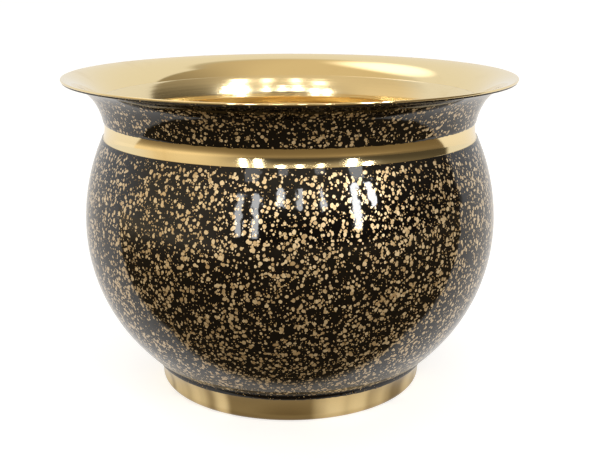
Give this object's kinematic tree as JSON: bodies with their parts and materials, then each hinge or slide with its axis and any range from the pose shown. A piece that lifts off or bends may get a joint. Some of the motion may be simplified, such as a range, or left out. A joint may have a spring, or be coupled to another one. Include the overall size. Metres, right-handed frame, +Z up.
{
  "type": "cachepot",
  "caption": "Round-bellied spun-brass cachepot with a flared lip, a bare brass neck band, a brass foot ring and a black enamel coat spattered with gold.",
  "frame": {"origin": "centre of the plane that the foot ring stands on", "axes": "+Z up along the pot's axis, from the foot to the rim; the pot is the same all round, so +X and +Y are free"},
  "size_m": [0.23, 0.23, 0.162],
  "materials": {
    "spun_brass": "polished, with fine turning marks",
    "solder": "dull, as it ran",
    "black_enamel": "glossy black with gold spatter under a clear coat"
  },
  "bodies": {
    "root": {"belly_bowl": "spun_brass", "flared_collar": "spun_brass", "foot_ring": "spun_brass", "neck_solder": "solder", "foot_solder": "solder", "belly_enamel": "black_enamel", "collar_enamel": "black_enamel"}
  },
  "joints": []
}
